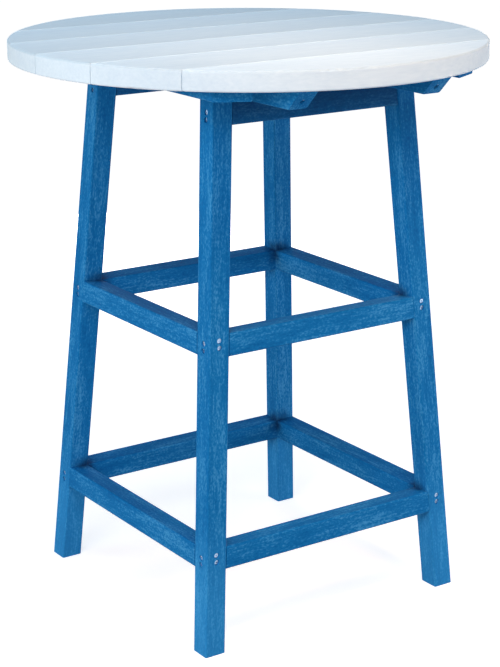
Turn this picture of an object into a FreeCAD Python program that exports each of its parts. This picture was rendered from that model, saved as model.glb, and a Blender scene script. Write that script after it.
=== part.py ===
import FreeCAD, Part
import math
import os
import Sketcher

# Round pub table: a plank top on battens and cleats, four splayed legs, two aprons, two rings of rails.
# Millimetres. The origin is on the floor under the middle of the top, +Z up, planks along X.

SIZES = [
    ("top_diameter", 813, "round top, rim to rim"),
    ("top_thickness", 33, "planks"),
    ("table_height", 980, "floor to the top's upper face"),
    ("plank_width", 133.7, "inner planks; the outermost are cut by the rim"),
    ("plank_gap", 1.2, "between planks"),
    ("rim_round", 4, "upper edge of the rim"),
    ("rim_round_under", 3, "lower edge of the rim"),
    ("plank_ease", 3, "plank edges along the gaps"),
    ("leg_section", 38.5, "square leg lumber"),
    ("foot_reach_x", 266, "centre to the legs' outer side faces at the floor"),
    ("foot_reach_y", 265, "centre to the legs' outer front and back faces at the floor"),
    ("head_reach_x", 199.5, "the same at the leg tops, sideways"),
    ("head_reach_y", 195, "the same at the leg tops, front to back"),
    ("rail_height", 38.5, "rails of both rings"),
    ("rail_thickness", 38.5, "rails of both rings"),
    ("lower_rail_level", 164, "floor to the middle of the lower rails' outer faces"),
    ("upper_rail_level", 521, "floor to the middle of the upper rails' outer faces"),
    ("apron_height", 39.5, "outer faces of the aprons"),
    ("apron_thickness", 38.5, "aprons under the battens"),
    ("batten_width", 35, "battens under the planks"),
    ("batten_height", 35, "battens under the planks"),
    ("batten_gap", 11.5, "batten to the legs' inner faces"),
    ("batten_inset", 19.5, "rim to the batten's upper end corners"),
    ("batten_bevel", 31, "height and length of the 45 degree bevel on the batten ends"),
    ("cleat_width", 55, "flat cleats outside the legs"),
    ("cleat_thickness", 19, "flat cleats outside the legs"),
    ("cleat_gap", 2.5, "cleat to the legs' outer faces"),
    ("cleat_inset", 25, "rim to the cleat's outer end corners"),
    ("cleat_mitre", 29, "how far the inner end corners stand past the outer ones"),
    ("lumber_ease", 3, "rounded long edges of the frame lumber"),
    ("screw_shank", 4.5, "diameter of every screw"),
    ("screw_head", 8.5, "diameter of every screw head"),
    ("screw_head_height", 3, "every screw head"),
    ("screw_point", 5, "length of the tapered point"),
    ("screw_tip", 1, "diameter left at the end of the point"),
    ("drive_width", 2.6, "square drive socket"),
    ("drive_depth", 2, "square drive socket"),
    ("shank_clearance", 0.1, "screw shank to its hole, all round"),
    ("head_clearance", 0.3, "screw head to its counterbore, all round"),
    ("point_clearance", 1, "screw point to the bottom of its hole"),
    ("head_sink", 2, "leg face to the screw head"),
    ("rail_screw_length", 70, "screws through the legs, under the head"),
    ("batten_screw_length", 50, "screws through aprons and battens, under the head"),
    ("short_screw_length", 38, "screws in the batten ends and cleats, under the head"),
    ("screw_bite", 22, "how far the upright screws reach into the next piece"),
    ("screw_pitch", 12, "between the two screws of a joint"),
    ("screw_stagger", 6, "screws into the side rails stand this much above those into the front rails"),
    ("lower_screw_drop", 3.5, "middle of the lower rail's outer face to its screw pair"),
    ("upper_screw_drop", 2.5, "middle of the upper rail's outer face to its screw pair"),
    ("apron_screw_drop", 5, "middle of the apron to its screw pair"),
    ("lift_screw_shift", 9, "screws up through the aprons to the screws in their ends"),
    ("outer_screw_shift", 20, "screws into the second planks stand clear of the aprons by this shift"),
    ("end_screw_rise", 12, "lower end of a bevel to the screw in it"),
]


class Measure:
    """A size both ways: the sheet's formula, for binding, and its value, for drawing the first guess."""

    def __init__(self, formula, value):
        self.formula = formula
        self.value = value

    @staticmethod
    def of(other):
        return other if isinstance(other, Measure) else Measure(repr(float(other)), float(other))

    def __add__(self, other):
        other = Measure.of(other)
        return Measure(f"({self.formula} + {other.formula})", self.value + other.value)

    def __sub__(self, other):
        other = Measure.of(other)
        return Measure(f"({self.formula} - {other.formula})", self.value - other.value)

    def __mul__(self, other):
        other = Measure.of(other)
        return Measure(f"({self.formula} * {other.formula})", self.value * other.value)

    def __truediv__(self, other):
        other = Measure.of(other)
        return Measure(f"({self.formula} / {other.formula})", self.value / other.value)

    def __neg__(self):
        return Measure(f"(0 - {self.formula})", -self.value)

    def root(self):
        return Measure(f"sqrt({self.formula})", self.value ** 0.5)


doc = FreeCAD.newDocument("pub_table")
sheet = doc.addObject("Spreadsheet::Sheet", "Sizes")
size = {}
for row, (alias, value, meaning) in enumerate(SIZES, start=1):
    sheet.set(f"A{row}", alias)
    sheet.set(f"B{row}", str(value))
    sheet.setAlias(f"B{row}", alias)
    sheet.set(f"C{row}", meaning)
    size[alias] = Measure(f"Sizes.{alias}", float(value))
doc.recompute()

ZERO = Measure("0", 0.0)

# Levels and places that follow from the sizes
rim_radius = size["top_diameter"] / 2
leg_height = size["table_height"] - size["top_thickness"]
plank_pitch = size["plank_width"] + size["plank_gap"]
batten_bottom = leg_height - size["batten_height"]
apron_level = batten_bottom - size["apron_height"] / 2
cleat_bottom = leg_height - size["cleat_thickness"]
lean_x = (size["foot_reach_x"] - size["head_reach_x"]) / leg_height
lean_y = (size["foot_reach_y"] - size["head_reach_y"]) / leg_height


def outer_x(level):
    """The legs' outer side faces at a height, from the middle."""
    return size["foot_reach_x"] - lean_x * level


def outer_y(level):
    """The legs' outer front and back faces at a height, from the middle."""
    return size["foot_reach_y"] - lean_y * level


def reach_along(inset, across):
    """How far a piece under the top runs from the middle when its corner keeps an inset from the rim."""
    radius = rim_radius - inset
    return (radius * radius - across * across).root()


batten_outer = size["head_reach_x"] - size["leg_section"] - size["batten_gap"]
batten_middle = batten_outer - size["batten_width"] / 2
batten_reach = reach_along(size["batten_inset"], batten_outer)
cleat_inner = outer_x(cleat_bottom) + size["cleat_gap"]
cleat_outer = cleat_inner + size["cleat_width"]
cleat_middle = cleat_inner + size["cleat_width"] / 2
lift_screw = outer_y(apron_level) - size["apron_thickness"] / 2 - size["lift_screw_shift"]

# Where the upright screws stand, front to back
inner_screw = plank_pitch / 2
second_screw = plank_pitch * 1.5
second_batten_screw = second_screw + size["outer_screw_shift"]
end_screw = batten_reach - size["batten_bevel"] + size["end_screw_rise"]

# Screw pairs of the leg joints: level of the pair into a front piece, and of the one into a side piece
lower_pair = size["lower_rail_level"] - size["lower_screw_drop"]
upper_pair = size["upper_rail_level"] - size["upper_screw_drop"]
apron_pair = apron_level - size["apron_screw_drop"]
lower_side_pair = lower_pair + size["screw_stagger"]
upper_side_pair = upper_pair + size["screw_stagger"]

shank_hole = size["screw_shank"] + size["shank_clearance"] * 2
head_hole = size["screw_head"] + size["head_clearance"] * 2
head_seat = size["head_sink"] + size["screw_head_height"]
rail_pilot = size["rail_screw_length"] - size["leg_section"] + head_seat + size["point_clearance"]
upright_pilot = size["screw_bite"] + size["point_clearance"]


# Sketches and features

# Each origin plane's own axes, as (axis, sign) of the model's axes: first, second, normal
PLANE_AXES = {
    "XY_Plane": (("x", 1), ("y", 1), ("z", 1)),
    "XZ_Plane": (("x", 1), ("z", 1), ("y", -1)),
    "YZ_Plane": (("y", 1), ("z", 1), ("x", 1)),
}


def new_body(label):
    body = doc.addObject("PartDesign::Body", label)
    body.Label = label
    return body


def origin_plane(body, role):
    return next(feature for feature in body.Origin.OriginFeatures if feature.Role == role)


def new_sketch(body, name, role, at):
    """A sketch on an origin plane of its body, moved to the place at, a dict of the model's x, y and z."""
    sketch = body.newObject("Sketcher::SketchObject", name)
    sketch.AttachmentSupport = [(origin_plane(body, role), "")]
    sketch.MapMode = "FlatFace"
    for own, (axis, sign) in zip("xyz", PLANE_AXES[role]):
        place = at.get(axis)
        if place is not None:
            bound = place if sign > 0 else -place
            sketch.setExpression(f"AttachmentOffset.Base.{own}", bound.formula)
    return sketch


def bind(sketch, constraint, name, measure):
    sketch.renameConstraint(sketch.addConstraint(constraint), name)
    sketch.setExpression(f"Constraints.{name}", measure.formula)


def draw_polygon(sketch, corners):
    """A closed outline of straight sides. Corners are pairs of measures, none below zero."""
    count = len(corners)
    points = [FreeCAD.Vector(x.value, y.value, 0) for x, y in corners]
    for i in range(count):
        sketch.addGeometry(Part.LineSegment(points[i], points[(i + 1) % count]))
    for i in range(count):
        sketch.addConstraint(Sketcher.Constraint("Coincident", i, 2, (i + 1) % count, 1))
    for i, (x, y) in enumerate(corners):
        if x is ZERO:
            sketch.addConstraint(Sketcher.Constraint("PointOnObject", i, 1, -2))
        else:
            bind(sketch, Sketcher.Constraint("DistanceX", -1, 1, i, 1, x.value), f"across_{i}", x)
        if y is ZERO:
            sketch.addConstraint(Sketcher.Constraint("PointOnObject", i, 1, -1))
        else:
            bind(sketch, Sketcher.Constraint("DistanceY", -1, 1, i, 1, y.value), f"up_{i}", y)


def draw_rectangle(sketch, wide, deep, name="side"):
    """A rectangle about the sketch's own origin."""
    right = wide.value / 2
    back = deep.value / 2
    corners = [(-right, -back), (right, -back), (right, back), (-right, back)]
    points = [FreeCAD.Vector(x, y, 0) for x, y in corners]
    first = sketch.GeometryCount
    for i in range(4):
        sketch.addGeometry(Part.LineSegment(points[i], points[(i + 1) % 4]))
    for i in range(4):
        sketch.addConstraint(Sketcher.Constraint("Coincident", first + i, 2, first + (i + 1) % 4, 1))
        sketch.addConstraint(Sketcher.Constraint("Vertical" if i % 2 else "Horizontal", first + i))
    sketch.addConstraint(Sketcher.Constraint("Symmetric", first, 1, first + 1, 2, -1, 1))
    side = first + 1
    bind(sketch, Sketcher.Constraint("DistanceX", first, 1, first, 2, wide.value), name + "_wide", wide)
    bind(sketch, Sketcher.Constraint("DistanceY", side, 1, side, 2, deep.value), name + "_deep", deep)


def draw_board(sketch, wide, deep, ease):
    """A board's end view about the sketch's own origin: a rectangle with its corners rounded."""
    right = wide.value / 2
    back = deep.value / 2
    radius = ease.value
    quarter = math.pi / 2
    turns = ((-1, -1), (1, -1), (1, 1), (-1, 1))
    for i, (side_x, side_y) in enumerate(turns):
        centre = FreeCAD.Vector(side_x * (right - radius), side_y * (back - radius), 0)
        start = (i + 2) * quarter
        circle = Part.Circle(centre, FreeCAD.Vector(0, 0, 1), radius)
        sketch.addGeometry(Part.ArcOfCircle(circle, start, start + quarter))
    arc_ends = [(sketch.getPoint(i, 1), sketch.getPoint(i, 2)) for i in range(4)]
    for i in range(4):
        sketch.addGeometry(Part.LineSegment(arc_ends[i][1], arc_ends[(i + 1) % 4][0]))
    for i in range(4):
        line = 4 + i
        sketch.addConstraint(Sketcher.Constraint("Tangent", i, 2, line, 1))
        sketch.addConstraint(Sketcher.Constraint("Tangent", line, 2, (i + 1) % 4, 1))
        sketch.addConstraint(Sketcher.Constraint("Vertical" if i % 2 else "Horizontal", line))
        if i:
            sketch.addConstraint(Sketcher.Constraint("Equal", 0, i))
    sketch.addConstraint(Sketcher.Constraint("Symmetric", 0, 3, 2, 3, -1, 1))
    bind(sketch, Sketcher.Constraint("Radius", 0, radius), "ease", ease)
    bind(sketch, Sketcher.Constraint("DistanceX", 7, 1, 5, 1, wide.value), "board_wide", wide)
    bind(sketch, Sketcher.Constraint("DistanceY", 4, 1, 6, 1, deep.value), "board_deep", deep)


def draw_hole_pair(sketch, along, spread, diameter):
    """Two equal circles, one each side of the sketch's origin, along its first or second axis."""
    half = spread.value / 2
    step = FreeCAD.Vector(half, 0, 0) if along == "first" else FreeCAD.Vector(0, half, 0)
    for centre in (-step, step):
        sketch.addGeometry(Part.Circle(centre, FreeCAD.Vector(0, 0, 1), diameter.value / 2))
    own_axis = -1 if along == "first" else -2
    sketch.addConstraint(Sketcher.Constraint("PointOnObject", 0, 3, own_axis))
    sketch.addConstraint(Sketcher.Constraint("Symmetric", 0, 3, 1, 3, -1, 1))
    sketch.addConstraint(Sketcher.Constraint("Equal", 0, 1))
    kind = "DistanceX" if along == "first" else "DistanceY"
    bind(sketch, Sketcher.Constraint(kind, 0, 3, 1, 3, spread.value), "spread", spread)
    bind(sketch, Sketcher.Constraint("Diameter", 0, diameter.value), "bore", diameter)


def pad(body, sketch, length):
    feature = body.newObject("PartDesign::Pad", sketch.Name + "_pad")
    feature.Profile = sketch
    feature.setExpression("Length", length.formula)
    return feature


def pocket(body, sketch, along_normal, depth=None):
    """Cuts along the sketch's normal or against it, right through unless a depth is given."""
    doc.recompute()
    before = body.Shape.Volume
    feature = body.newObject("PartDesign::Pocket", sketch.Name + "_cut")
    feature.Profile = sketch
    feature.Reversed = along_normal
    if depth is None:
        feature.Type = "ThroughAll"
    else:
        feature.Type = "Length"
        feature.setExpression("Length", depth.formula)
    body.Tip = feature
    doc.recompute()
    if not body.Shape.Volume < before:
        raise RuntimeError(f"{feature.Name} cuts nothing")
    return feature


def repeat_mirrored(body, feature, role):
    """The same cut again on the other side of an origin plane."""
    mirrored = body.newObject("PartDesign::Mirrored", feature.Name + "_mirrored")
    mirrored.Originals = [feature]
    mirrored.MirrorPlane = (origin_plane(body, role), [""])
    body.Tip = mirrored
    return mirrored


def round_edges(body, wanted, radius, name):
    """Rounds the edges of the body's last feature that the test wanted picks."""
    doc.recompute()
    base = body.Tip
    names = [f"Edge{i}" for i, edge in enumerate(base.Shape.Edges, start=1) if wanted(edge)]
    if not names:
        raise RuntimeError(f"{name} finds no edge")
    feature = body.newObject("PartDesign::Fillet", name)
    feature.Base = (base, names)
    feature.setExpression("Radius", radius.formula)
    body.Tip = feature
    return feature


def runs_along(axis):
    """Picks straight edges that lie within a few degrees of an axis, so that splayed lumber counts too."""
    near_parallel = 0.95

    def wanted(edge):
        ends = [vertex.Point for vertex in edge.Vertexes]
        if len(ends) < 2:
            return False
        return abs((ends[1] - ends[0]).normalize().dot(axis)) > near_parallel

    return wanted


def mirror_copy(label, source, normal):
    """The opposite piece, mirrored through the table's middle."""
    copy = doc.addObject("Part::Mirroring", label)
    copy.Label = label
    copy.Source = source
    copy.Normal = normal
    return copy


X_AXIS = FreeCAD.Vector(1, 0, 0)
Y_AXIS = FreeCAD.Vector(0, 1, 0)
Z_AXIS = FreeCAD.Vector(0, 0, 1)


# Frame lumber

# Cuts from these planes towards the minus side: along the plane's normal, or against it
MINUS_IS_NORMAL = {"XZ_Plane": True, "YZ_Plane": False}


def screw_pair_through_leg(body, name, role, level, across, seat):
    """Two clearance holes right through the leg, counterbored from its outer face."""
    for step, depth_place, bore in (("shank", ZERO, shank_hole), ("head", -seat, head_hole)):
        at = {"x": depth_place, "y": across} if role == "YZ_Plane" else {"x": across, "y": depth_place}
        sketch = new_sketch(body, f"{name}_{step}", role, {**at, "z": level})
        draw_hole_pair(sketch, "second", size["screw_pitch"], bore)
        pocket(body, sketch, MINUS_IS_NORMAL[role])


def make_leg():
    """The front left leg: square lumber splayed both ways, its ends cut level."""
    body = new_body("leg_front_left")
    half = size["leg_section"] / 2
    at = {"x": half - size["foot_reach_x"], "y": half - size["foot_reach_y"]}
    foot = new_sketch(body, "leg_foot", "XY_Plane", at)
    draw_rectangle(foot, size["leg_section"], size["leg_section"])
    lumber = pad(body, foot, leg_height)
    lumber.UseCustomVector = True
    lumber.AlongSketchNormal = True
    lean = (
        size["foot_reach_x"] - size["head_reach_x"],
        size["foot_reach_y"] - size["head_reach_y"],
        leg_height,
    )
    for axis, rise in zip("xyz", lean):
        lumber.setExpression(f"Direction.{axis}", rise.formula)
    body.Tip = lumber
    round_edges(body, runs_along(Z_AXIS), size["lumber_ease"], "leg_eased")
    side_joints = (
        ("lower_front", lower_pair, size["rail_thickness"]),
        ("upper_front", upper_pair, size["rail_thickness"]),
        ("apron", apron_pair, size["apron_thickness"]),
    )
    for name, level, thickness in side_joints:
        across = -(outer_y(level) - thickness / 2)
        seat = outer_x(level) - head_seat
        screw_pair_through_leg(body, "leg_" + name, "YZ_Plane", level, across, seat)
    for name, level in (("lower_side", lower_side_pair), ("upper_side", upper_side_pair)):
        across = -(outer_x(level) - size["rail_thickness"] / 2)
        seat = outer_y(level) - head_seat
        screw_pair_through_leg(body, "leg_" + name, "XZ_Plane", level, across, seat)
    return body


def make_bar(label, along, level, height, thickness, pair_level, planed=False):
    """A bar between two legs, along X at the front or along Y at the left. It leans with the legs, so
    its outer face is flush with theirs. Its ends are cut to their inner faces, and each end has two
    pilot holes. A planed bar has a level upper face, any other is square lumber."""
    if along == "x":
        across, section_plane, end_plane = "y", "YZ_Plane", "XZ_Plane"
        outer_face, leg_face, lean, axis = outer_y, outer_x, lean_y, X_AXIS
    else:
        across, section_plane, end_plane = "x", "XZ_Plane", "YZ_Plane"
        outer_face, leg_face, lean, axis = outer_x, outer_y, lean_x, Y_AXIS
    body = new_body(label)

    stretch = (lean * lean + 1).root()
    dip = thickness * lean / stretch
    if planed:
        rise = height
        inner_top = (lean * rise + thickness * stretch, dip + rise)
    else:
        rise = height / stretch
        inner_top = (lean * rise + thickness / stretch, rise)
    bottom = level - rise / 2 - dip
    at = {across: -outer_face(bottom + dip), "z": bottom}
    section = new_sketch(body, label + "_section", section_plane, at)
    inner_low = (thickness / stretch, ZERO)
    outer_top = (lean * rise, dip + rise)
    draw_polygon(section, [(ZERO, dip), inner_low, inner_top, outer_top])
    lumber = pad(body, section, leg_face(bottom) * 2)
    lumber.SideType = "Symmetric"
    body.Tip = lumber
    round_edges(body, runs_along(axis), size["lumber_ease"], label + "_eased")

    below = bottom - height
    waste = leg_face(below)
    end = new_sketch(body, label + "_end", end_plane, {along: -waste, "z": below})
    cut_height = height * 3
    foot_cut = waste - leg_face(below) + size["leg_section"]
    head_cut = waste - leg_face(below + cut_height) + size["leg_section"]
    draw_polygon(end, [(ZERO, ZERO), (foot_cut, ZERO), (head_cut, cut_height), (ZERO, cut_height)])
    end_cut = pocket(body, end, MINUS_IS_NORMAL[end_plane])
    repeat_mirrored(body, end_cut, section_plane)

    at = {
        along: -(leg_face(pair_level) - size["leg_section"] - rail_pilot),
        across: -(outer_face(pair_level) - thickness / 2),
        "z": pair_level,
    }
    pilots = new_sketch(body, label + "_pilots", section_plane, at)
    draw_hole_pair(pilots, "second", size["screw_pitch"], shank_hole)
    pilot_cut = pocket(body, pilots, MINUS_IS_NORMAL[section_plane])
    repeat_mirrored(body, pilot_cut, section_plane)
    return body


def counterbored_pair(body, name, at, along, spread, seat):
    """Two upright clearance holes right through, counterbored from below up to the level seat."""
    for step, level, bore in (("shank", ZERO, shank_hole), ("head", seat, head_hole)):
        sketch = new_sketch(body, f"{name}_{step}", "XY_Plane", {**at, "z": level})
        draw_hole_pair(sketch, along, spread, bore)
        pocket(body, sketch, along_normal=level is ZERO)


def make_front_apron():
    """The bar under the battens' front ends, planed level for them and screwed up into both."""
    thickness = size["apron_thickness"]
    body = make_bar("apron_front", "x", apron_level, size["apron_height"], thickness, apron_pair, planed=True)
    seat = batten_bottom + size["screw_bite"] - size["batten_screw_length"]
    counterbored_pair(body, "apron_lift", {"y": -lift_screw}, "first", batten_middle * 2, seat)
    return body


# Under the top

def make_batten():
    """The left batten: a bar along Y under all the planks, its ends bevelled underneath."""
    body = new_body("batten_left")
    bevel = size["batten_bevel"]
    height = size["batten_height"]
    length = batten_reach * 2
    at = {"x": -batten_outer, "y": -batten_reach, "z": batten_bottom}
    side = new_sketch(body, "batten_side", "YZ_Plane", at)
    corners = [
        (bevel, ZERO),
        (length - bevel, ZERO),
        (length, bevel),
        (length, height),
        (ZERO, height),
        (ZERO, bevel),
    ]
    draw_polygon(side, corners)
    body.Tip = pad(body, side, size["batten_width"])
    round_edges(body, runs_along(Y_AXIS), size["lumber_ease"], "batten_eased")
    at = {"x": -batten_middle}
    seat = leg_height + size["screw_bite"] - size["batten_screw_length"]
    counterbored_pair(body, "batten_inner", at, "second", inner_screw * 2, seat)
    counterbored_pair(body, "batten_second", at, "second", second_batten_screw * 2, seat)
    short_seat = leg_height + size["screw_bite"] - size["short_screw_length"]
    counterbored_pair(body, "batten_end", at, "second", end_screw * 2, short_seat)
    pilots = new_sketch(body, "batten_pilots", "XY_Plane", {"x": -batten_middle, "z": batten_bottom})
    draw_hole_pair(pilots, "second", lift_screw * 2, shank_hole)
    pocket(body, pilots, along_normal=True, depth=upright_pilot)
    return body


def make_cleat():
    """The left cleat: a flat board outside the legs, its ends mitred the way the rim curves."""
    body = new_body("cleat_left")
    mitre = size["cleat_mitre"]
    outer_reach = reach_along(size["cleat_inset"], cleat_outer)
    inner_reach = outer_reach + mitre
    at = {"x": -cleat_outer, "y": -inner_reach, "z": cleat_bottom}
    face = new_sketch(body, "cleat_face", "XY_Plane", at)
    width = size["cleat_width"]
    corners = [
        (ZERO, mitre),
        (width, ZERO),
        (width, inner_reach * 2),
        (ZERO, inner_reach + outer_reach),
    ]
    draw_polygon(face, corners)
    body.Tip = pad(body, face, size["cleat_thickness"])
    round_edges(body, runs_along(Y_AXIS), size["lumber_ease"], "cleat_eased")
    at = {"x": -cleat_middle}
    seat = leg_height + size["screw_bite"] - size["short_screw_length"]
    counterbored_pair(body, "cleat_inner", at, "second", inner_screw * 2, seat)
    counterbored_pair(body, "cleat_second", at, "second", second_screw * 2, seat)
    return body


# Top

def on_rim(level):
    """Picks the disc's round edge at a height."""
    def wanted(edge):
        centre = edge.BoundBox.Center
        is_rim = isinstance(edge.Curve, Part.Circle) and abs(edge.Curve.Radius - rim_radius.value) < 0.01
        return is_rim and abs(centre.z - level.value) < 0.01

    return wanted


def make_plank(label, inner_edge, width, screw_spots):
    """One plank on the back half of the top: a disc with a rounded rim, cut back to one eased board."""
    body = new_body(label)
    thickness = size["top_thickness"]
    profile = new_sketch(body, label + "_profile", "XZ_Plane", {"z": leg_height})
    draw_polygon(profile, [(ZERO, ZERO), (rim_radius, ZERO), (rim_radius, thickness), (ZERO, thickness)])
    disc = body.newObject("PartDesign::Revolution", label + "_disc")
    disc.Profile = profile
    disc.ReferenceAxis = (profile, ["V_Axis"])
    disc.Angle = 360
    body.Tip = disc
    round_edges(body, on_rim(size["table_height"]), size["rim_round"], label + "_rim")
    round_edges(body, on_rim(leg_height), size["rim_round_under"], label + "_rim_under")

    at = {"x": rim_radius * 2, "y": inner_edge + width / 2, "z": leg_height + thickness / 2}
    board = new_sketch(body, label + "_board", "YZ_Plane", at)
    draw_board(board, width, thickness, size["plank_ease"])
    draw_rectangle(board, width + size["top_diameter"] * 2, thickness * 2, "waste")
    pocket(body, board, along_normal=False)

    for i, (across, along) in enumerate(screw_spots):
        sketch = new_sketch(body, f"{label}_pilots_{i}", "XY_Plane", {"y": along, "z": leg_height})
        draw_hole_pair(sketch, "first", across * 2, shank_hole)
        pocket(body, sketch, along_normal=True, depth=upright_pilot)
    return body


# Screws

def make_screw(name, length):
    """One wood screw along +Z from the top of its head, with a square drive socket."""
    body = new_body(name)
    profile = new_sketch(body, name + "_profile", "XZ_Plane", {})
    head = size["screw_head"] / 2
    shank = size["screw_shank"] / 2
    tip = size["screw_tip"] / 2
    seat = size["screw_head_height"]
    end = seat + length
    point = end - size["screw_point"]
    corners = [
        (ZERO, ZERO),
        (head, ZERO),
        (head, seat),
        (shank, seat),
        (shank, point),
        (tip, end),
        (ZERO, end),
    ]
    draw_polygon(profile, corners)
    turned = body.newObject("PartDesign::Revolution", name + "_turned")
    turned.Profile = profile
    turned.ReferenceAxis = (profile, ["V_Axis"])
    turned.Angle = 360
    body.Tip = turned
    socket = new_sketch(body, name + "_socket", "XY_Plane", {})
    draw_rectangle(socket, size["drive_width"], size["drive_width"])
    pocket(body, socket, along_normal=True, depth=size["drive_depth"])
    return body


def screw_group(label, spots):
    """Screws at the front left spots, mirrored to the other three quarters of the table.
    A spot is a screw, the top of its head and the way it is driven."""
    links = []
    for i, (screw, head_top, heading) in enumerate(spots):
        link = doc.addObject("App::Link", f"{label}_{i}")
        link.LinkedObject = screw
        link.Placement.Rotation = FreeCAD.Rotation(Z_AXIS, heading)
        for axis, place in zip("xyz", head_top):
            link.setExpression(f"Placement.Base.{axis}", place.formula)
        links.append(link)
    quarter = doc.addObject("Part::Compound", label + "_quarter")
    quarter.Links = links
    front = doc.addObject("Part::Compound", label + "_front")
    front.Links = [quarter, mirror_copy(label + "_front_right", quarter, X_AXIS)]
    whole = doc.addObject("Part::Compound", label)
    whole.Label = label
    whole.Links = [front, mirror_copy(label + "_back", front, Y_AXIS)]
    return whole


def pair_levels(level):
    half = size["screw_pitch"] / 2
    return (level - half, level + half)


def side_driven(screw, pair_level, thickness):
    """A pair driven along +X through the left front leg into a front rail or apron."""
    x = -(outer_x(pair_level) - size["head_sink"])
    y = -(outer_y(pair_level) - thickness / 2)
    return [(screw, (x, y, level), X_AXIS) for level in pair_levels(pair_level)]


def front_driven(screw, pair_level):
    """A pair driven along +Y through the left front leg into a side rail."""
    x = -(outer_x(pair_level) - size["rail_thickness"] / 2)
    y = -(outer_y(pair_level) - size["head_sink"])
    return [(screw, (x, y, level), Y_AXIS) for level in pair_levels(pair_level)]


def driven_up(screw, length, across, along, joint_level):
    """One screw driven up until it reaches its bite past the joint."""
    head_top = joint_level + size["screw_bite"] - length - size["screw_head_height"]
    return (screw, (-across, -along, head_top), Z_AXIS)


# Assembly: each piece once, and its opposites by mirroring

leg = make_leg()
leg_front_right = mirror_copy("leg_front_right", leg, X_AXIS)
parts = [
    leg,
    leg_front_right,
    mirror_copy("leg_back_left", leg, Y_AXIS),
    mirror_copy("leg_back_right", leg_front_right, Y_AXIS),
]

rail_height = size["rail_height"]
rail_thickness = size["rail_thickness"]
rings = (
    ("lower", size["lower_rail_level"], lower_pair, lower_side_pair),
    ("upper", size["upper_rail_level"], upper_pair, upper_side_pair),
)
for ring, level, front_pair, side_pair in rings:
    front_rail = make_bar(f"{ring}_rail_front", "x", level, rail_height, rail_thickness, front_pair)
    side_rail = make_bar(f"{ring}_rail_left", "y", level, rail_height, rail_thickness, side_pair)
    back_rail = mirror_copy(f"{ring}_rail_back", front_rail, Y_AXIS)
    right_rail = mirror_copy(f"{ring}_rail_right", side_rail, X_AXIS)
    parts += [front_rail, back_rail, side_rail, right_rail]

for piece, opposite, normal in (
    (make_front_apron(), "apron_back", Y_AXIS),
    (make_batten(), "batten_right", X_AXIS),
    (make_cleat(), "cleat_right", X_AXIS),
):
    parts += [piece, mirror_copy(opposite, piece, normal)]

plank_screws = (
    [(batten_middle, inner_screw), (cleat_middle, inner_screw)],
    [(batten_middle, second_batten_screw), (cleat_middle, second_screw)],
    [(batten_middle, end_screw)],
)
for place, spots in enumerate(plank_screws):
    inner_edge = plank_pitch * place + size["plank_gap"] / 2
    outermost = place == len(plank_screws) - 1
    width = rim_radius if outermost else size["plank_width"]
    back_plank = make_plank(f"top_plank_{4 + place}", inner_edge, width, spots)
    parts += [back_plank, mirror_copy(f"top_plank_{3 - place}", back_plank, Y_AXIS)]

rail_screw = make_screw("rail_screw", size["rail_screw_length"])
batten_screw = make_screw("batten_screw", size["batten_screw_length"])
short_screw = make_screw("short_screw", size["short_screw_length"])
batten_length = size["batten_screw_length"]
short_length = size["short_screw_length"]
screw_groups = {
    "lower_rail_screws": side_driven(rail_screw, lower_pair, rail_thickness)
    + front_driven(rail_screw, lower_side_pair),
    "upper_rail_screws": side_driven(rail_screw, upper_pair, rail_thickness)
    + front_driven(rail_screw, upper_side_pair),
    "apron_screws": side_driven(rail_screw, apron_pair, size["apron_thickness"]),
    "apron_batten_screws": [driven_up(batten_screw, batten_length, batten_middle, lift_screw, batten_bottom)],
    "batten_screws": [
        driven_up(batten_screw, batten_length, batten_middle, along, leg_height)
        for along in (inner_screw, second_batten_screw)
    ],
    "short_screws": [
        driven_up(short_screw, short_length, across, along, leg_height)
        for across, along in (
            (batten_middle, end_screw),
            (cleat_middle, inner_screw),
            (cleat_middle, second_screw),
        )
    ],
}
for label, spots in screw_groups.items():
    parts.append(screw_group(label, spots))

# Check everything, then write one file for each piece
doc.recompute()
for item in doc.Objects:
    if "Invalid" in item.State or "Error" in item.State:
        raise RuntimeError(f"{item.Name} failed: {item.State}")
for part in parts:
    if part.Shape.isNull() or not part.Shape.isValid():
        raise RuntimeError(f"{part.Label} has no valid shape")

os.makedirs("parts", exist_ok=True)
for part in parts:
    part.Shape.exportStep(f"parts/{part.Label}.step")
    print(part.Label, len(part.Shape.Solids), "solids", round(part.Shape.Volume / 1000, 1), "cm3")
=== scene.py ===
# %% [markdown]
# # A round pub table in two colours of plastic lumber
# The table is bar height. Six white planks are cut to a circle and stand on a blue frame of square
# lumber: four legs splayed both ways, two aprons and two rings of rails, all held by screws.
# The solid model already has every piece at its real size and place, so it is loaded as a fixed frame.
# This lesson adds what solids can't say: the finish of each surface, the turned screws, light and camera.

from math import pi, radians

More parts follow.
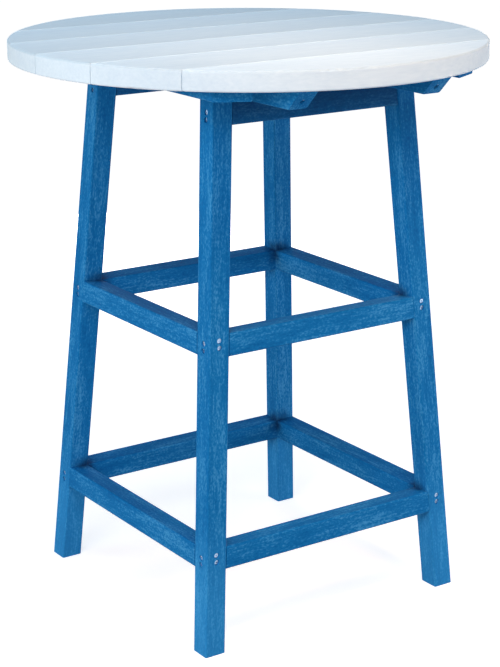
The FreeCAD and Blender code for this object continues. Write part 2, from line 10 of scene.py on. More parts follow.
import bmesh
import bpy
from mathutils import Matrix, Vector


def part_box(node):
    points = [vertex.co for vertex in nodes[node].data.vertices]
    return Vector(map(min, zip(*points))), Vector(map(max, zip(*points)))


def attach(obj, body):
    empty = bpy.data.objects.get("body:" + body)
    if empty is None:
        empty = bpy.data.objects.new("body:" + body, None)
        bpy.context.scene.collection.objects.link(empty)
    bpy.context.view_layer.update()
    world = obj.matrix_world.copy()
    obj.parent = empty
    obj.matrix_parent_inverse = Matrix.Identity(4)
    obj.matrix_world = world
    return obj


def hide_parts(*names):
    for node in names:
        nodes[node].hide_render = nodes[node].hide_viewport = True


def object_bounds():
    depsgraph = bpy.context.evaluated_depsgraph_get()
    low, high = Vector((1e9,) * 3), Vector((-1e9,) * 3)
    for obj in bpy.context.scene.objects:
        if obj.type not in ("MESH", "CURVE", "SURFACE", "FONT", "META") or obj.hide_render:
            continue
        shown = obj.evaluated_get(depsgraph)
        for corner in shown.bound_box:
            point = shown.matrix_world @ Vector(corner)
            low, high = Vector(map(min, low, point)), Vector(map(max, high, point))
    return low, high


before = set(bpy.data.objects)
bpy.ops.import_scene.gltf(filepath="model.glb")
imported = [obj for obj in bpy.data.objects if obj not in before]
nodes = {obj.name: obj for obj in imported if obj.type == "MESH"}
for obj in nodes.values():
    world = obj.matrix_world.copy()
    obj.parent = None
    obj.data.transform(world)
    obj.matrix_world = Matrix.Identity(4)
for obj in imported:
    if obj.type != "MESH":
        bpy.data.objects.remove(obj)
solid_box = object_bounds()
bpy.ops.object.select_all(action="DESELECT")
print("solid model:", len(nodes), "nodes, highest point", round(solid_box[1].z, 3), "m")

# %% [markdown]
# ## The camera
# The photograph was taken from the front left corner, a little above the table and looking down at it.
# A pinhole camera was fitted to the legs, the rim and the seams, so the lens, the place and the two
# turns below are real sizes. A long lens from over three metres keeps the splayed legs nearly straight.

# %% Place the camera
PICTURE_HEIGHT = 667
FOCAL_PIXELS = 1783.5
SENSOR_MM = 36
CAMERA_PLACE = Vector((-1.7129, -2.5136, 1.3724))
CAMERA_TURN = radians(34.325)
CAMERA_DIP = radians(16.848)

bpy.ops.object.camera_add(location=CAMERA_PLACE, rotation=(pi / 2 - CAMERA_DIP, 0, -CAMERA_TURN))
camera = bpy.context.object
camera.name = "camera"
camera.data.sensor_fit = "VERTICAL"
camera.data.sensor_height = SENSOR_MM
camera.data.lens = FOCAL_PIXELS * SENSOR_MM / PICTURE_HEIGHT
bpy.context.scene.camera = camera
bpy.context.scene.view_settings.view_transform = "Standard"
print("camera:", round(camera.data.lens, 1), "mm lens at", [round(x, 3) for x in camera.location])

# %% [markdown]
# ## Colours and shader nodes
# Colours are easiest to judge as the hex values that a paint program shows, but a shader works in
# linear light, so one function converts them. A second one adds a shader node with its settings, its
# socket values and its links, which keeps each material a short list of what it is made of.

# %% Two helpers for materials
def from_hex(code):
    """The linear colour of an sRGB hex value."""
    shares = [int(code[i:i + 2], 16) / 255 for i in (1, 3, 5)]
    linear = [share / 12.92 if share <= 0.04045 else ((share + 0.055) / 1.055) ** 2.4 for share in shares]
    return (*linear, 1)


def add_node(tree, kind, inputs=None, **settings):
    """Adds one shader node. An input is a value for a socket, or the output that is linked to it."""
    node = tree.nodes.new("ShaderNode" + kind)
    for setting, value in settings.items():
        setattr(node, setting, value)
    for socket, value in (inputs or {}).items():
        if isinstance(value, bpy.types.NodeSocket):
            tree.links.new(value, node.inputs[socket])
        else:
            node.inputs[socket].default_value = value
    return node


print("middle grey in linear light:", round(from_hex("#808080")[0], 3))

# %% [markdown]
# ## The white floor
# The table stands on a plain white floor that runs on to a white wall. A real studio overexposes both.
# Here they glow only where the camera, a reflection or a see-through surface looks straight at them, so
# the table itself is lit at a plain level. Close to the table the floor glows less and the lamps make up
# the rest, which leaves room for a faint shadow.

# %% Lay the floor
FLOOR_SIZE = 60
FLOOR_PAINT = "#DCCECA"
NEAR_GLOW = 0.65
GLOW_REACH = 2.5
PURE_WHITE = (1, 1, 1, 1)


def seen_directly(tree):
    """1 for rays that show the background itself: from the camera, off gloss or through glass."""
    path = add_node(tree, "LightPath")
    either = add_node(tree, "Math", {0: path.outputs["Is Camera Ray"], 1: path.outputs["Is Glossy Ray"]},
                      operation="MAXIMUM")
    return add_node(tree, "Math", {0: either.outputs[0], 1: path.outputs["Is Transmission Ray"]},
                    operation="MAXIMUM").outputs[0]


def white_studio_floor():
    """Matt white floor paint, a little warm to balance the cool lamps, that keeps a faint shadow."""
    material = bpy.data.materials.new("white_studio_floor")
    material.use_nodes = True
    tree = material.node_tree
    tree.nodes.clear()
    matt_paint = add_node(tree, "BsdfDiffuse", {"Color": from_hex(FLOOR_PAINT)})
    place = add_node(tree, "TexCoord").outputs["Object"]
    distance = add_node(tree, "VectorMath", {0: place}, operation="LENGTH").outputs["Value"]
    level = add_node(tree, "MapRange", {"Value": distance, "From Max": GLOW_REACH,
                                        "To Min": NEAR_GLOW, "To Max": 1})
    glow = add_node(tree, "Math", {0: seen_directly(tree), 1: level.outputs[0]}, operation="MULTIPLY")
    white = add_node(tree, "Emission", {"Color": PURE_WHITE, "Strength": glow.outputs[0]})
    both = add_node(tree, "AddShader", {0: matt_paint.outputs[0], 1: white.outputs[0]})
    add_node(tree, "OutputMaterial", {"Surface": both.outputs[0]})
    return material


bpy.ops.mesh.primitive_plane_add(size=FLOOR_SIZE)
floor = bpy.context.object
floor.name = "studio_floor"
floor.data.materials.append(white_studio_floor())
print("studio floor:", FLOOR_SIZE, "m wide, white from", GLOW_REACH, "m out")

# %% [markdown]
# ## The white wall
# Behind the floor there is only the world. Seen directly it is a white wall, by the same switch as the
# floor's. On the table it is no more than a weak, bluish light from all round, like a room's own light,
# which keeps the inner corners of the frame from going black.

# %% Set the backdrop
AMBIENT_COLOUR = "#C4DAEE"
AMBIENT_LEVEL = 0.05

world = bpy.data.worlds.new("white_studio")
world.use_nodes = True
bpy.context.scene.world = world
sky = world.node_tree
sky.nodes.clear()
ambient = add_node(sky, "Background", {"Color": from_hex(AMBIENT_COLOUR), "Strength": AMBIENT_LEVEL})
white_wall = add_node(sky, "Background", {"Color": PURE_WHITE, "Strength": 1})
backdrop = add_node(sky, "MixShader", {0: seen_directly(sky), 1: ambient.outputs[0],
                                       2: white_wall.outputs[0]})
add_node(sky, "OutputWorld", {"Surface": backdrop.outputs[0]})
print("backdrop: white, ambient level", AMBIENT_LEVEL)

# %% [markdown]
# ## The lamps
# The photograph's light is soft. Faces that look left are the lightest, faces that look to the front are
# a little darker, and the top fades from a bright front edge to a cool, darker back edge.
# Large soft boxes stand left, front left and back left, and a weak one hangs from the ceiling. Lower ones
# on the left, on the right and behind fill the frame under the top. A small warm one with a grid hangs in
# front and lights the front half of the top. The one behind only fills: its shine would turn the tops of
# the rails grey.

# %% Soft boxes
FRAME_MIDDLE = (0, 0, 0.6)
FRAME_FOOT = (0, 0, 0.2)
FRONT_HALF = (-0.04, -0.26, 0.98)


def soft_box(name, place, aim, side, watts, tint, beam=180, shine=True):
    """A square lamp that faces the point aim. A grid can narrow its beam, given in degrees."""
    turn = (Vector(aim) - Vector(place)).to_track_quat("-Z", "Y").to_euler()
    bpy.ops.object.light_add(type="AREA", location=place, rotation=turn)
    lamp = bpy.context.object
    lamp.name = name
    lamp.data.shape = "SQUARE"
    lamp.data.size = side
    lamp.data.energy = watts
    lamp.data.color = from_hex(tint)[:3]
    lamp.data.spread = radians(beam)
    lamp.visible_camera = False
    lamp.visible_glossy = shine


soft_box("left_soft_box", place=(-3.2, -2.0, 2.1), aim=FRAME_MIDDLE, side=1.8, watts=72, tint="#EBF6FD")
soft_box("front_soft_box", place=(-1.6, -3.0, 3.2), aim=FRAME_MIDDLE, side=1.8, watts=54, tint="#D6ECFF")
soft_box("back_soft_box", place=(-2.8, 1.8, 1.4), aim=FRAME_MIDDLE, side=1.8, watts=35, tint="#CBEDFF")
soft_box("low_left_soft_box", place=(-3.4, -0.6, 0.9), aim=FRAME_MIDDLE, side=1.6, watts=27, tint="#FFE6C8")
soft_box("low_right_soft_box", place=(1.6, -0.9, 0.35), aim=FRAME_FOOT, side=0.8, watts=17, tint="#EAF5FF")
soft_box("ceiling_soft_box", place=(0, 0, 3.6), aim=FRAME_FOOT, side=2.4, watts=31, tint="#50CAFF")
soft_box("behind_soft_box", place=(1.0, 2.8, 0.45), aim=FRAME_MIDDLE, side=0.9, watts=36, tint="#E4F1FF",
         shine=False)
soft_box("near_soft_box", place=(0.14, -1.0, 2.2), aim=FRONT_HALF, side=0.35, watts=3.1, tint="#FFDBB6",
         beam=70)

# %% [markdown]
# ## Plastic lumber
# The lumber is recycled polyethylene, extruded as boards and embossed with a brushed wood grain.
# That gives the eye streaks along each board, shorter flecks between them, a slow drift of tone, and a
# satin, broken sheen. An image of the grain would stretch on the boards' ends, so the grain is
# three-dimensional noise in the object's own coordinates, drawn out along the board. A board that lies
# another way needs its grain turned, so the material is made once for each way.

# %% The lumber material
MM = 0.001
EMBOSS_DEPTH = 0.6 * MM
POLYETHYLENE_IOR = 1.54
NOISE_DETAIL = 3
NOISE_MIDDLE = 0.5
FLECK_SHARE = 0.6
DRIFT_SHARE = 0.3


def plastic_lumber(name, way, look, shade=1):
    """Embossed polyethylene with its grain along way, in one of the two looks below."""
    material = bpy.data.materials.new(name)
    material.use_nodes = True
    tree = material.node_tree
    shader = tree.nodes["Principled BSDF"]
    place = add_node(tree, "TexCoord").outputs["Object"]
    turn = Vector(way).rotation_difference(Vector((1, 0, 0))).to_euler()
    board = add_node(tree, "Mapping", {"Vector": place, "Rotation": turn}).outputs[0]

    marks = []
    for length, width in (look["streak"], look["fleck"], look["drift"]):
        per_metre = (1 / (length * MM), 1 / (width * MM), 1 / (width * MM))
        stretched = add_node(tree, "VectorMath", {0: board, 1: per_metre}, operation="MULTIPLY")
        noise = add_node(tree, "TexNoise", {"Vector": stretched.outputs[0], "Scale": 1,
                                          "Detail": NOISE_DETAIL})
        marks.append(noise.outputs["Fac"])
    streaks, flecks, drift = marks

    grain = add_node(tree, "Mix", {0: FLECK_SHARE, 2: streaks, 3: flecks}).outputs[0]
    tone = add_node(tree, "Mix", {0: DRIFT_SHARE, 2: grain, 3: drift}).outputs[0]
    ramp = add_node(tree, "ValToRGB", {"Fac": tone})
    dark, middle, light = ([shade * share for share in from_hex(code)[:3]] + [1] for code in look["tones"])
    ramp.color_ramp.elements[0].position = NOISE_MIDDLE - look["spread"]
    ramp.color_ramp.elements[0].color = dark
    ramp.color_ramp.elements[1].position = NOISE_MIDDLE + look["spread"]
    ramp.color_ramp.elements[1].color = light
    ramp.color_ramp.elements.new(NOISE_MIDDLE).color = middle
    tree.links.new(ramp.outputs["Color"], shader.inputs["Base Color"])

    smoothest, roughest = look["roughness"]
    sheen = add_node(tree, "MapRange", {"Value": grain, "To Min": smoothest, "To Max": roughest})
    tree.links.new(sheen.outputs[0], shader.inputs["Roughness"])
    shader.inputs["Specular IOR Level"].default_value = look["specular"]
    shader.inputs["IOR"].default_value = POLYETHYLENE_IOR
    emboss = add_node(tree, "Bump", {"Height": grain, "Strength": look["emboss"], "Distance": EMBOSS_DEPTH})
    tree.links.new(emboss.outputs[0], shader.inputs["Normal"])
    return material


print("lumber: grain embossed up to", EMBOSS_DEPTH / MM, "mm deep")

# %% [markdown]
# ## Two looks of one material
# A look holds what differs between the blue frame and the white top: three tones, how far the grain
# spreads between them, the length and width in millimetres of its streaks, flecks and slow drifts,
# and how deep and how shiny the embossing is. White boards show much less of their grain. The embossing
# breaks up most of the shine, so both specular levels are far below that of smooth plastic.

# %% Paint the boards
BLUE = {"tones": ("#0C5A93", "#146BA4", "#428EBE"), "spread": 0.15, "streak": (36, 4), "fleck": (5, 2.6),
        "drift": (150, 26), "roughness": (0.46, 0.66), "specular": 0.02, "emboss": 0.7}
WHITE = {"tones": ("#CAD4DE", "#D5DDE4", "#DFE5EA"), "spread": 0.25, "streak": (90, 4), "fleck": (30, 6),
         "drift": (400, 40), "roughness": (0.45, 0.6), "specular": 0.04, "emboss": 0.25}
PLANK_SHADES = (1.0, 0.985, 1.01, 0.99, 1.01, 0.985)
LUMBER_SIDE = 38.5 * MM
X_WAY = (1, 0, 0)
Y_WAY = (0, 1, 0)
blue_along_x = plastic_lumber("blue_polyethylene_lumber_x", X_WAY, BLUE)
blue_along_y = plastic_lumber("blue_polyethylene_lumber_y", Y_WAY, BLUE)


def paint(node, material):
    """Gives a node of the solid model one material."""
    mesh = nodes[node].data
    mesh.materials.clear()
    mesh.materials.append(material)


def leg_way(node):
    """The direction of a splayed leg, from the box round it and the side of its lumber."""
    low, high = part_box(node)
    to_middle = Vector((-1 if "right" in node else 1, 1 if "front" in node else -1, 0))
    lean = high - low - Vector((LUMBER_SIDE, LUMBER_SIDE, 0))
    return (to_middle.x * lean.x, to_middle.y * lean.y, lean.z)


for node in nodes:
    if node.startswith("top_plank"):
        plank_shade = PLANK_SHADES[int(node[-1]) - 1]
        paint(node, plastic_lumber("white_polyethylene_" + node, X_WAY, WHITE, plank_shade))
    elif node.startswith(("batten", "cleat")) or node.endswith(("rail_left", "rail_right")):
        paint(node, blue_along_y)
    elif node.startswith("apron") or node.endswith(("rail_front", "rail_back")):
        paint(node, blue_along_x)
    elif node.startswith("leg"):
        paint(node, plastic_lumber("blue_polyethylene_" + node, leg_way(node), BLUE))
print("materials so far:", len(bpy.data.materials))

# %% [markdown]
# ## Painted light across the planks
# Each of the six planks gets painted light on its upper face: a painted highlight in a narrow band along its
# back edge, and painted shade over its width that deepens towards its front edge. So the top steps from light
# to dark at each seam, and that sets the planks apart more than the thin gaps do. The gradient and the band
# scale the colour that the grain gave. The shading ends at the round rim.

# %% Shade the planks across
PAINTED_LIGHT_SLOPE = 0.065
PAINTED_HIGHLIGHT = 0.05
PAINTED_HIGHLIGHT_WIDTH = 26 * MM
RIM_ROUNDING = 4 * MM


def shade_colour(tree, level):
    """Multiplies a material's base colour by a level."""
    colour = tree.nodes["Principled BSDF"].inputs["Base Color"]
    shaded = add_node(tree, "VectorMath", {0: colour.links[0].from_socket, "Scale": level}, operation="SCALE")
    tree.links.new(shaded.outputs[0], colour)


def paint_plank_light(plank):
    """Paints light on a plank's upper face: a painted highlight at its back edge, painted shade towards its
    front edge.
    """
    tree = nodes[plank].data.materials[0].node_tree
    low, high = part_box(plank)
    place = add_node(tree, "TexCoord").outputs["Object"]
    sides = add_node(tree, "SeparateXYZ", {0: place}).outputs
    slope = add_node(tree, "MapRange", {"Value": sides["Y"], "From Min": low.y, "From Max": high.y,
                                        "To Min": -PAINTED_LIGHT_SLOPE, "To Max": PAINTED_LIGHT_SLOPE})
    band = add_node(tree, "MapRange", {"Value": sides["Y"], "From Min": high.y - PAINTED_HIGHLIGHT_WIDTH,
                                       "From Max": high.y, "To Max": PAINTED_HIGHLIGHT})
    painted_light = add_node(tree, "Math", {0: slope.outputs[0], 1: band.outputs[0]}, operation="ADD")
    upper_face = add_node(tree, "MapRange", {"Value": sides["Z"], "From Min": high.z - RIM_ROUNDING,
                                             "From Max": high.z})
    level = add_node(tree, "Math", {0: painted_light.outputs[0], 1: upper_face.outputs[0], 2: 1},
                     operation="MULTIPLY_ADD")
    shade_colour(tree, level.outputs[0])


planks = [node for node in nodes if node.startswith("top_plank")]
for plank in planks:
    paint_plank_light(plank)
print("planks shaded:", len(planks), "with a band", PAINTED_HIGHLIGHT_WIDTH / MM, "mm wide")

# %% [markdown]
# ## Painted shade on the routed rim
# The upper edge of the round rim is rounded with a router. Painted shade greys that edge and holds down the
# highlight the lamps put there.
# A painted mask would need an unwrapped mesh. A point lies on that edge where it is both near the top and
# far out from the middle, so two ramps that are multiplied find it on every plank alike.

# %% Paint shade on the rounded edge
EDGE_SHADE_LEVEL = 0.86


def paint_rim_edge_shade(plank):
    """Paints shade on the rounded upper edge of the rim, where a point is both near the top and far out."""
    tree = nodes[plank].data.materials[0].node_tree
    place = add_node(tree, "TexCoord").outputs["Object"]
    height = add_node(tree, "SeparateXYZ", {0: place}).outputs["Z"]
    flat = add_node(tree, "VectorMath", {0: place, 1: (1, 1, 0)}, operation="MULTIPLY")
    radius = add_node(tree, "VectorMath", {0: flat.outputs[0]}, operation="LENGTH").outputs["Value"]
    near_top, far_out = (
        add_node(tree, "MapRange", {"Value": value, "From Min": most - RIM_ROUNDING,
                                    "From Max": most - RIM_ROUNDING / 2}).outputs[0]
        for value, most in ((height, solid_box[1].z), (radius, solid_box[1].x)))
    on_edge = add_node(tree, "Math", {0: near_top, 1: far_out}, operation="MULTIPLY").outputs[0]
    level = add_node(tree, "MapRange", {"Value": on_edge, "To Min": 1, "To Max": EDGE_SHADE_LEVEL})
    shade_colour(tree, level.outputs[0])


for plank in planks:
    paint_rim_edge_shade(plank)
print("rim: outer", RIM_ROUNDING / MM, "mm greyed to", EDGE_SHADE_LEVEL, "of its level")

# %% [markdown]
# ## Painted light on the feet
# The legs get painted light towards their feet, standing in for the light that the bright floor throws up
# onto them.
# A paler blue is mixed into the legs by their height above the floor.
# A bare gradient would look sprayed on, so a noise moves its edge up and down.

# %% Paint light on the feet
FOOT_LIGHT_BLUE = "#4AACE8"
FOOT_LIGHT_SHARE = 0.25
FOOT_LIGHT_FULL = 80 * MM
FOOT_LIGHT_END = 270 * MM
FOOT_LIGHT_UNEVEN = 60 * MM
FOOT_LIGHT_BLOT = 25 * MM


def mix_painted_tone(tree, distance, near, far, code, most, uneven, blot):
    """Mixes painted light or shade into the base colour: most of it up to near, none past far, with an uneven
    edge.
    """
    colour = tree.nodes["Principled BSDF"].inputs["Base Color"]
    place = add_node(tree, "TexCoord").outputs["Object"]
    blots = add_node(tree, "TexNoise", {"Vector": place, "Scale": 1 / blot})
    edge = add_node(tree, "Math", {0: blots.outputs["Fac"], 1: uneven, 2: distance}, operation="MULTIPLY_ADD")
    share = add_node(tree, "MapRange", {"Value": edge.outputs[0], "From Min": near + uneven / 2,
                                        "From Max": far + uneven / 2, "To Min": most, "To Max": 0},
                     interpolation_type="SMOOTHSTEP")
    mixed_tone = add_node(tree, "MixRGB", {"Fac": share.outputs[0], "Color1": colour.links[0].from_socket,
                                        "Color2": from_hex(code)})
    tree.links.new(mixed_tone.outputs[0], colour)


def painted_foot_light(leg):
    """Paints light on a leg, paler towards its foot."""
    tree = nodes[leg].data.materials[0].node_tree
    place = add_node(tree, "TexCoord").outputs["Object"]
    height = add_node(tree, "SeparateXYZ", {0: place}).outputs["Z"]
    mix_painted_tone(tree, height, near=FOOT_LIGHT_FULL, far=FOOT_LIGHT_END, code=FOOT_LIGHT_BLUE, most=FOOT_LIGHT_SHARE,
          uneven=FOOT_LIGHT_UNEVEN, blot=FOOT_LIGHT_BLOT)


legs = [node for node in nodes if node.startswith("leg")]
for leg in legs:
    painted_foot_light(leg)
print("chalky feet:", len(legs), "up to", FOOT_LIGHT_END, "m")

# %% [markdown]
# ## Painted shade in the inner corners
# Where the rails meet the legs, on the side towards the middle, dark navy is painted in as the shade that
# gathers in those corners.
# Ambient occlusion could find these corners, but that is noisy and darkens every seam. The frame is the same
# in all four corners, so the distance to one point of each ring, measured on positive X and Y, gives
# every blot at once. The point lies a little inside the leg, so that the blot spreads over both inner
# faces and fades before the outer ones.

# %% Paint shade into the corners
PAINTED_SHADE = "#11254A"
PAINTED_SHADE_SHARE = 0.95
PAINTED_SHADE_DEPTH = 7 * MM
PAINTED_SHADE_REACH = 34 * MM
PAINTED_SHADE_UNEVEN = 20 * MM
PAINTED_SHADE_BLOT = 12 * MM


def corner_shade_centre(rail):
    """A point inside the back right leg, near its innermost edge, just under the height of a rail's top."""
    low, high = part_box("leg_back_right")
    foot = Vector((high.x - LUMBER_SIDE, high.y - LUMBER_SIDE, low.z))
    head = Vector((low.x, low.y, high.z))
    edge = foot.lerp(head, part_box(rail)[1].z / high.z)
    return edge + Vector((PAINTED_SHADE_DEPTH, PAINTED_SHADE_DEPTH, -PAINTED_SHADE_DEPTH))


def painted_corner_shade(material):
    """Paints shade into the inner corners of both rings of rails."""
    tree = material.node_tree
    place = add_node(tree, "TexCoord").outputs["Object"]
    mirrored = add_node(tree, "VectorMath", {0: place}, operation="ABSOLUTE").outputs[0]
    lower, upper = (add_node(tree, "VectorMath", {0: mirrored, 1: corner_shade_centre(rail)}, operation="DISTANCE")
                    for rail in ("lower_rail_back", "upper_rail_back"))
    nearest = add_node(tree, "Math", {0: lower.outputs["Value"], 1: upper.outputs["Value"]},
                       operation="MINIMUM").outputs[0]
    mix_painted_tone(tree, nearest, near=0, far=PAINTED_SHADE_REACH, code=PAINTED_SHADE, most=PAINTED_SHADE_SHARE,
          uneven=PAINTED_SHADE_UNEVEN, blot=PAINTED_SHADE_BLOT)


blue_lumber = [material for material in bpy.data.materials if material.name.startswith("blue")]
for material in blue_lumber:
    painted_corner_shade(material)
print("grimy corners:", len(blue_lumber), "materials, blots reach", PAINTED_SHADE_REACH / MM, "mm")

# %% [markdown]
# ## Painted shadow under the top
# The top casts its shadow on the aprons, so painted shadow darkens them all along and most of all at their
# upper edge.
# They share their material with the front and back rails, but those lie too low for a shadow that is
# measured down from the top, so no material of their own is needed.

# %% Paint shadow on the aprons
APRON_SHADOW_SHARE = 0.65
APRON_SHADOW_REACH = 90 * MM


def painted_apron_shadow(material):
    """Paints shadow on the lumber right under the top."""
    tree = material.node_tree
    place = add_node(tree, "TexCoord").outputs["Object"]
    height = add_node(tree, "SeparateXYZ", {0: place}).outputs["Z"]
    under_top = add_node(tree, "Math", {0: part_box("apron_front")[1].z, 1: height}, operation="SUBTRACT")
    mix_painted_tone(tree, under_top.outputs[0], near=0, far=APRON_SHADOW_REACH, code=PAINTED_SHADE, most=APRON_SHADOW_SHARE,
          uneven=PAINTED_SHADE_UNEVEN, blot=PAINTED_SHADE_BLOT)


painted_apron_shadow(blue_along_x)
print("grimy aprons: down to", APRON_SHADOW_REACH / MM, "mm under the top")

# %% [markdown]
# ## Stainless steel
# The screws are stainless, because the table stands outdoors. They are tumbled after turning, which
# leaves a grey metal with soft fine scratches and a few duller patches. Both tones are tinted blue as a
# painted reflection of the blue frame around the heads. The scratches are drawn a little coarser than real
# ones, or they would be lost in the picture.

# %% The steel
STEEL_AND_REFLECTION_TONES = ("#93AAC1", "#B8CCE2")
STEEL_ROUGHNESS = (0.24, 0.44)
PATCH_SIZE = 6 * MM
PATCH_SPREAD = 0.15
SCRATCH_SIZE = 0.8 * MM
SCRATCH_DEPTH = 0.05 * MM
SCRATCH_STRENGTH = 0.2


def stainless_steel():
    """Tumbled stainless steel: grey metal tinted with a painted blue reflection, soft fine scratches and
    duller patches.
    """
    material = bpy.data.materials.new("stainless_steel")
    material.use_nodes = True
    tree = material.node_tree
    shader = tree.nodes["Principled BSDF"]
    shader.inputs["Metallic"].default_value = 1
    place = add_node(tree, "TexCoord").outputs["Object"]
    patches = add_node(tree, "TexNoise", {"Vector": place, "Scale": 1 / PATCH_SIZE})
    ramp = add_node(tree, "ValToRGB", {"Fac": patches.outputs["Fac"]})
    dull, clean = STEEL_AND_REFLECTION_TONES
    ramp.color_ramp.elements[0].position = NOISE_MIDDLE - PATCH_SPREAD
    ramp.color_ramp.elements[0].color = from_hex(dull)
    ramp.color_ramp.elements[1].position = NOISE_MIDDLE + PATCH_SPREAD
    ramp.color_ramp.elements[1].color = from_hex(clean)
    tree.links.new(ramp.outputs["Color"], shader.inputs["Base Color"])
    scratches = add_node(tree, "TexNoise", {"Vector": place, "Scale": 1 / SCRATCH_SIZE,
                                            "Detail": NOISE_DETAIL}).outputs["Fac"]
    smoothest, roughest = STEEL_ROUGHNESS
    dullness = add_node(tree, "MapRange", {"Value": scratches, "To Min": smoothest, "To Max": roughest})
    tree.links.new(dullness.outputs[0], shader.inputs["Roughness"])
    relief = add_node(tree, "Bump", {"Height": scratches, "Strength": SCRATCH_STRENGTH,
                                     "Distance": SCRATCH_DEPTH})
    tree.links.new(relief.outputs[0], shader.inputs["Normal"])
    return material


steel = stainless_steel()
print("metal:", steel.name)

# %% [markdown]
# ## The blank of a screw
# The solid model's screws are plain pins. A real one has a flat head with a rounded rim and a square
# drive, a smooth shank, a thread and a point. A profile could be spun round an axis, but it is easier to
# see what happens when it is modelled as by hand: a cylinder is the head, and its end face is extruded
# and scaled again and again down to the point. Then the head's rim is bevelled. Sizes are in millimetres.

# %% Turn the blank
HEAD_RADIUS = 4.25
HEAD_HEIGHT = 3
HEAD_ROUNDING = 0.6
ROUNDING_STEPS = 3
SHANK_RADIUS = 2.25
SHANK_TAPER = 1
CORE_RADIUS = 1.7
POINT_LENGTH = 5
TIP_RADIUS = 0.2
SMOOTH_SHARE = 0.4
SCREW_SIDES = 24


def turned_blank(length):
    """Head, shank, core and point: the head's face is at the origin and the point is at +Z."""
    bpy.ops.mesh.primitive_cylinder_add(vertices=SCREW_SIDES, radius=HEAD_RADIUS * MM,
                                        depth=HEAD_HEIGHT * MM, location=(0, 0, HEAD_HEIGHT * MM / 2))
    blank = bpy.context.object
    bpy.ops.object.transform_apply()
    bpy.ops.object.mode_set(mode="EDIT")
    bpy.ops.mesh.select_mode(type="FACE")
    shape = bmesh.from_edit_mesh(blank.data)
    end_face = max(shape.faces, key=lambda face: face.calc_center_median().z)
    for face in shape.faces:
        face.select_set(face == end_face)
    smooth_end = SMOOTH_SHARE * length
    radius, depth = HEAD_RADIUS, HEAD_HEIGHT
    for next_radius, next_depth in (
            (SHANK_RADIUS, HEAD_HEIGHT), (SHANK_RADIUS, smooth_end), (CORE_RADIUS, smooth_end + SHANK_TAPER),
            (CORE_RADIUS, length - POINT_LENGTH), (TIP_RADIUS, length)):
        onward = (0, 0, (next_depth - depth) * MM)
        narrower = next_radius / radius
        bpy.ops.mesh.extrude_region_move(TRANSFORM_OT_translate={"value": onward})
        bpy.ops.transform.resize(value=(narrower, narrower, 1))
        radius, depth = next_radius, next_depth

    bpy.ops.mesh.select_mode(type="EDGE")
    bpy.ops.mesh.select_all(action="DESELECT")
    shape = bmesh.from_edit_mesh(blank.data)
    for edge in shape.edges:
        edge.select_set(all(vertex.co.z < HEAD_ROUNDING * MM for vertex in edge.verts))
    bpy.ops.mesh.bevel(offset=HEAD_ROUNDING * MM, segments=ROUNDING_STEPS, affect="EDGES")
    bpy.ops.object.mode_set(mode="OBJECT")
    return blank


print("blank: head", 2 * HEAD_RADIUS, "mm, shank", 2 * SHANK_RADIUS, "mm across")

# %% [markdown]
# ## The thread
# A thread could be a bump in the material, but here it is real geometry.
# The Screw modifier winds a small triangle round the core, and its two open ends are filled. The thread's
# crest keeps the pin's diameter, so the screw stays inside the same hole.

# %% Wind the thread
THREAD_PITCH = 2.2
THREAD_STEPS = 12
THREAD_CORNERS = 3


def apply_modifier(piece, kind, **settings):
    """Adds a modifier with its settings to the active piece and applies it."""
    modifier = piece.modifiers.new(kind, kind)
    for setting, value in settings.items():
        setattr(modifier, setting, value)
    bpy.ops.object.modifier_apply(modifier=kind)


def wound_thread(length):
    """A triangle wound round the core, from the smooth shank to the point, and closed at both ends."""
    start = SMOOTH_SHARE * length + SHANK_TAPER
    turns = int((length - POINT_LENGTH - start) / THREAD_PITCH)
    depth = SHANK_RADIUS - CORE_RADIUS
    bpy.ops.mesh.primitive_circle_add(vertices=THREAD_CORNERS, radius=depth * MM,
                                      rotation=(pi / 2, pi / 2, 0),
                                      location=(CORE_RADIUS * MM, 0, (start + depth) * MM))
    thread = bpy.context.object
    bpy.ops.object.transform_apply()
    apply_modifier(thread, "SCREW", iterations=turns, screw_offset=THREAD_PITCH * MM,
                   steps=THREAD_STEPS, render_steps=THREAD_STEPS)
    bpy.ops.object.mode_set(mode="EDIT")
    bpy.ops.mesh.select_all(action="SELECT")
    bpy.ops.mesh.fill_holes(sides=THREAD_CORNERS)
    bpy.ops.object.mode_set(mode="OBJECT")
    return thread


print("thread: pitch", THREAD_PITCH, "mm,", THREAD_STEPS, "steps a turn")

# %% [markdown]
# ## One whole screw
# A cube cuts the square drive into the head with a Boolean. The thread is joined to the blank, and not
# merged with it, because two closed shells that overlap look the same and have cleaner faces. Normals are
# made consistent, since the Screw modifier can wind faces inside out, and only gentle edges are smoothed.

# %% Put a screw together
DRIVE_SIDE = 2.6
DRIVE_DEPTH = 2
SHARPEST_SMOOTHED = radians(35)


def select_only(*pieces):
    """Selects these pieces and nothing else, and makes the first one active."""
    bpy.ops.object.select_all(action="DESELECT")
    for piece in pieces:
        piece.select_set(True)
    bpy.context.view_layer.objects.active = pieces[0]


def wood_screw(length):
    """One whole screw of that length in mm."""
    screw = turned_blank(length)
    drive_size = (DRIVE_SIDE * MM, DRIVE_SIDE * MM, 2 * DRIVE_DEPTH * MM)
    bpy.ops.mesh.primitive_cube_add(size=1, scale=drive_size)
    drive = bpy.context.object
    select_only(screw)
    apply_modifier(screw, "BOOLEAN", object=drive)
    bpy.data.objects.remove(drive)
    thread = wound_thread(length)
    select_only(screw, thread)
    bpy.ops.object.join()
    bpy.ops.object.mode_set(mode="EDIT")
    bpy.ops.mesh.select_all(action="SELECT")
    bpy.ops.mesh.normals_make_consistent(inside=False)
    bpy.ops.object.mode_set(mode="OBJECT")
    bpy.ops.object.shade_smooth_by_angle(angle=SHARPEST_SMOOTHED)
    screw.data.materials.append(steel)
    print("screw:", length, "mm long,", len(screw.data.polygons), "faces")
    return screw


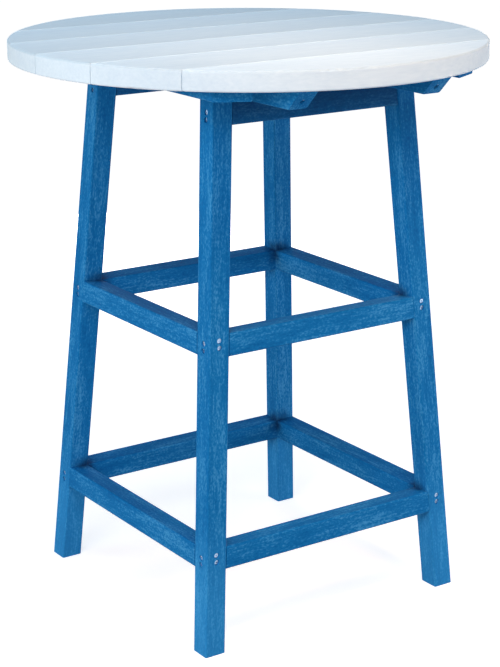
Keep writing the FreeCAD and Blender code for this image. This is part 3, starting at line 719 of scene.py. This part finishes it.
print("drive:", DRIVE_SIDE, "mm square,", DRIVE_DEPTH, "mm deep")

# %% [markdown]
# ## Where the screws go
# Each node of screws in the solid model holds several loose pins. A list of places would go out of date
# when the model changes, so the pins are measured instead. A merged copy of a node's mesh falls apart
# into its pins, and each pin's box tells its axis and length, while its widest end is the head.

# %% Measure the pins
WELD = 0.001 * MM


def measured_pin(pin):
    """Head face, direction and length of one pin, in metres."""
    points = [vertex.co for vertex in pin.data.vertices]
    low = Vector([min(point[i] for point in points) for i in range(3)])
    high = Vector([max(point[i] for point in points) for i in range(3)])
    size = high - low
    axis = max(range(3), key=lambda i: size[i])
    middle = (low + high) / 2
    sideways = Vector([i != axis for i in range(3)])
    past_shank = (HEAD_RADIUS + SHANK_RADIUS) / 2 * MM
    on_head = [point for point in points if ((point - middle) * sideways).length > past_shank]
    head_is_low = on_head[0][axis] < middle[axis]
    head = middle.copy()
    head[axis] = low[axis] if head_is_low else high[axis]
    direction = Vector((0, 0, 0))
    direction[axis] = 1 if head_is_low else -1
    return head, direction, size[axis]


def loose_pins(node):
    """The measured pins of a node."""
    rough = bpy.data.objects.new("pins", nodes[node].data.copy())
    bpy.context.collection.objects.link(rough)
    select_only(rough)
    bpy.ops.object.mode_set(mode="EDIT")
    bpy.ops.mesh.select_all(action="SELECT")
    bpy.ops.mesh.remove_doubles(threshold=WELD)
    bpy.ops.mesh.separate(type="LOOSE")
    bpy.ops.object.mode_set(mode="OBJECT")
    pins = []
    for pin in list(bpy.context.selected_objects):
        pins.append(measured_pin(pin))
        bpy.data.objects.remove(pin)
    return pins


pins_of = {node: loose_pins(node) for node in nodes if node.endswith("screws")}
print("pins:", {node: len(pins) for node, pins in pins_of.items()})

# %% [markdown]
# ## Every screw in its place
# One screw is modelled for each length, and a copy is turned and moved to each pin. The copies of a node
# are joined into one piece, which then stands for that node. The patterns are thrown away at the end.

# %% Drive the screws
def drive_screws(node):
    """A screw for every pin of a node, joined into one piece that stands for the node."""
    screws = []
    for head, direction, length in pins_of[node]:
        millimetres = round(length / MM)
        if millimetres not in pattern_screws:
            pattern_screws[millimetres] = wood_screw(millimetres)
        select_only(pattern_screws[millimetres])
        bpy.ops.object.duplicate()
        screw = bpy.context.object
        screw.rotation_euler = Vector((0, 0, 1)).rotation_difference(direction).to_euler()
        screw.location = head
        bpy.ops.object.transform_apply()
        screws.append(screw)
    select_only(*screws)
    bpy.ops.object.join()
    piece = bpy.context.object
    piece.name = "steel_" + node
    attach(piece, "root")
    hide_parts(node)
    print(piece.name + ":", len(screws), "screws,", len(piece.data.polygons), "faces")


pattern_screws = {}
for node in pins_of:
    drive_screws(node)
for pattern in pattern_screws.values():
    bpy.data.objects.remove(pattern)
